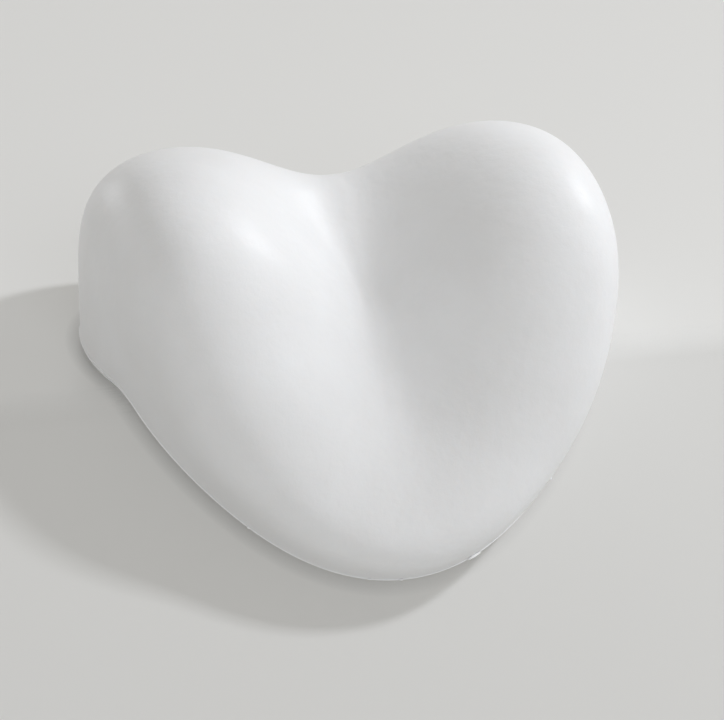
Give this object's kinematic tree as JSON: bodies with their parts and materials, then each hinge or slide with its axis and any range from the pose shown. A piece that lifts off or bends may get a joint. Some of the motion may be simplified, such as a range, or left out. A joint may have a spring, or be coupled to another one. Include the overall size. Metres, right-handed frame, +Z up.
{
  "type": "bath pillow",
  "caption": "Heart-shaped moulded foam bath pillow with a neck channel, bent to lie over a bath's edge and held by suction cups.",
  "frame": {"origin": "in the plane of the bath's flat rim, on the pillow's middle plane, where the underside starts to bend down", "axes": "+X along the bath's edge to the side, +Y away from the bath over its rim, +Z up"},
  "size_m": [0.2538, 0.2146, 0.1762],
  "materials": {
    "skin": "satin",
    "foam": "matte",
    "socket_plastic": "satin",
    "clear_vinyl": "gloss"
  },
  "bodies": {
    "pillow": {"face_skin": "skin", "back_skin": "skin", "foam_core": "foam", "left_rim_socket": "socket_plastic", "right_rim_socket": "socket_plastic", "left_wall_socket": "socket_plastic", "right_wall_socket": "socket_plastic"},
    "left_rim_cup": {"left_rim_suction_cup": "clear_vinyl"},
    "right_rim_cup": {"right_rim_suction_cup": "clear_vinyl"},
    "left_wall_cup": {"left_wall_suction_cup": "clear_vinyl"},
    "right_wall_cup": {"right_wall_suction_cup": "clear_vinyl"}
  },
  "joints": [
    {"name": "left_rim_cup_spin", "type": "hinge", "parent": "pillow", "child": "left_rim_cup", "pos_m": [-0.06192, 0.05806, 0], "axis": [0, 0, 1], "continuous": true},
    {"name": "right_rim_cup_spin", "type": "hinge", "parent": "pillow", "child": "right_rim_cup", "pos_m": [0.06192, 0.05806, 0], "axis": [0, 0, 1], "continuous": true},
    {"name": "left_wall_cup_spin", "type": "hinge", "parent": "pillow", "child": "left_wall_cup", "pos_m": [-0.03614, -0.04192, -0.03308], "axis": [0, -0.7254, 0.6884], "continuous": true},
    {"name": "right_wall_cup_spin", "type": "hinge", "parent": "pillow", "child": "right_wall_cup", "pos_m": [0.03614, -0.04192, -0.03308], "axis": [0, -0.7254, 0.6884], "continuous": true}
  ]
}
